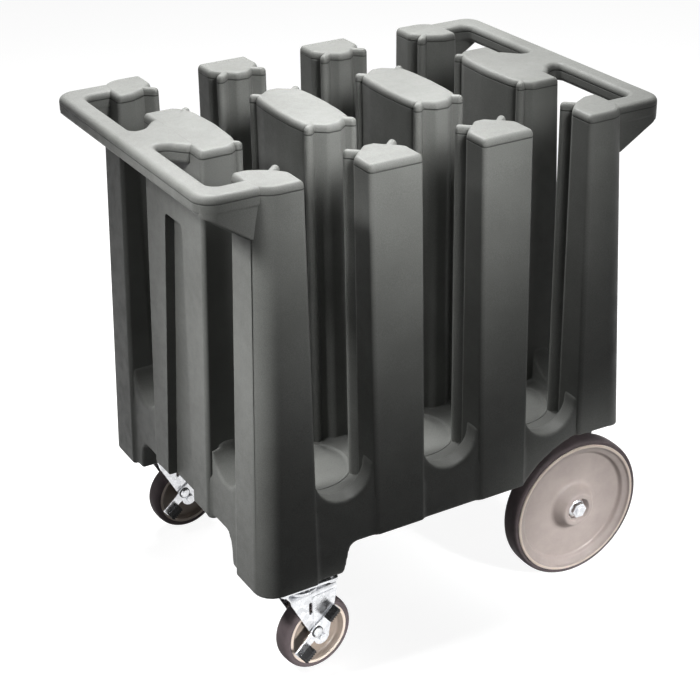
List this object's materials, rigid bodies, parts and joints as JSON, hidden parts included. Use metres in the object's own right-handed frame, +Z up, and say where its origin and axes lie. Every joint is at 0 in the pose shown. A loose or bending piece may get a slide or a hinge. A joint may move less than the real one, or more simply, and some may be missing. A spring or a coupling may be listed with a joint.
{
  "type": "dish caddy",
  "caption": "Wheeled caddy that carries stacks of plates between upright posts, with bar handles, large wheels and braked swivel casters.",
  "frame": {"origin": "point on the floor under the middle of the caddy", "axes": "+X along the caddy from the casters to the large wheels, +Y to the left of it, +Z up"},
  "size_m": [0.783, 0.568, 0.824],
  "materials": {
    "moulding": "charcoal polyethylene with a fine moulded texture",
    "wheel_plastic": "light taupe moulded plastic",
    "tyre": "smooth non-marking grey-brown rubber",
    "caster_plastic": "brown-grey moulded plastic with a pale rim",
    "bush_plastic": "black bearing plastic",
    "pedal_rubber": "black ribbed rubber",
    "race_steel": "greased pressed steel",
    "zinc_steel": "bright zinc plate"
  },
  "bodies": {
    "caddy": {"base_tub": "moulding", "corner_posts": "moulding", "side_posts": "moulding", "end_posts": "moulding", "centre_posts": "moulding", "well_fins": "moulding", "front_handle": "moulding", "rear_handle": "moulding", "rear_axle": "zinc_steel", "axle_brackets": "zinc_steel", "bracket_bolts": "zinc_steel", "axle_washers": "zinc_steel", "axle_nuts": "zinc_steel", "right_caster_plate": "zinc_steel", "left_caster_plate": "zinc_steel", "caster_bolts": "zinc_steel", "right_upper_race": "race_steel", "left_upper_race": "race_steel"},
    "right_wheel": {"right_wheel_disc": "wheel_plastic", "right_wheel_tyre": "tyre", "right_wheel_bush": "bush_plastic"},
    "left_wheel": {"left_wheel_disc": "wheel_plastic", "left_wheel_tyre": "tyre", "left_wheel_bush": "bush_plastic"},
    "right_swivel": {"right_lower_race": "race_steel", "right_swivel_balls": "race_steel", "right_fork": "zinc_steel", "right_kingpin": "zinc_steel", "right_kingpin_nut": "zinc_steel", "right_caster_axle": "zinc_steel", "right_caster_nut": "zinc_steel", "right_caster_spacers": "zinc_steel", "right_pedal_pin": "zinc_steel"},
    "right_caster_wheel": {"right_caster_core": "caster_plastic", "right_caster_tyre": "tyre", "right_caster_bush": "bush_plastic"},
    "right_pedal": {"right_brake_pedal": "zinc_steel", "right_pedal_pads": "pedal_rubber"},
    "left_swivel": {"left_lower_race": "race_steel", "left_swivel_balls": "race_steel", "left_fork": "zinc_steel", "left_kingpin": "zinc_steel", "left_kingpin_nut": "zinc_steel", "left_caster_axle": "zinc_steel", "left_caster_nut": "zinc_steel", "left_caster_spacers": "zinc_steel", "left_pedal_pin": "zinc_steel"},
    "left_caster_wheel": {"left_caster_core": "caster_plastic", "left_caster_tyre": "tyre", "left_caster_bush": "bush_plastic"},
    "left_pedal": {"left_brake_pedal": "zinc_steel", "left_pedal_pads": "pedal_rubber"}
  },
  "joints": [
    {"name": "right_wheel_spin", "type": "hinge", "parent": "caddy", "child": "right_wheel", "pos_m": [0.27, 0, 0.125], "axis": [0, 1, 0], "continuous": true},
    {"name": "left_wheel_spin", "type": "hinge", "parent": "caddy", "child": "left_wheel", "pos_m": [0.27, 0, 0.125], "axis": [0, 1, 0], "continuous": true},
    {"name": "right_caster_swivel", "type": "hinge", "parent": "caddy", "child": "right_swivel", "pos_m": [-0.252, -0.238, 0.15], "axis": [0, 0, 1], "continuous": true},
    {"name": "right_caster_spin", "type": "hinge", "parent": "right_swivel", "child": "right_caster_wheel", "pos_m": [-0.22813, -0.23549, 0.0625], "axis": [-0.1045, 0.9945, 0], "continuous": true},
    {"name": "right_brake_pedal", "type": "hinge", "parent": "right_swivel", "child": "right_pedal", "pos_m": [-0.23907, -0.23664, 0.0785], "axis": [-0.1045, 0.9945, 0], "range_deg": [0, 22]},
    {"name": "left_caster_swivel", "type": "hinge", "parent": "caddy", "child": "left_swivel", "pos_m": [-0.252, 0.238, 0.15], "axis": [0, 0, 1], "continuous": true},
    {"name": "left_caster_spin", "type": "hinge", "parent": "left_swivel", "child": "left_caster_wheel", "pos_m": [-0.22801, 0.23884, 0.0625], "axis": [-0.0349, 0.9994, 0], "continuous": true},
    {"name": "left_brake_pedal", "type": "hinge", "parent": "left_swivel", "child": "left_pedal", "pos_m": [-0.23901, 0.23845, 0.0785], "axis": [-0.0349, 0.9994, 0], "range_deg": [0, 22]}
  ]
}
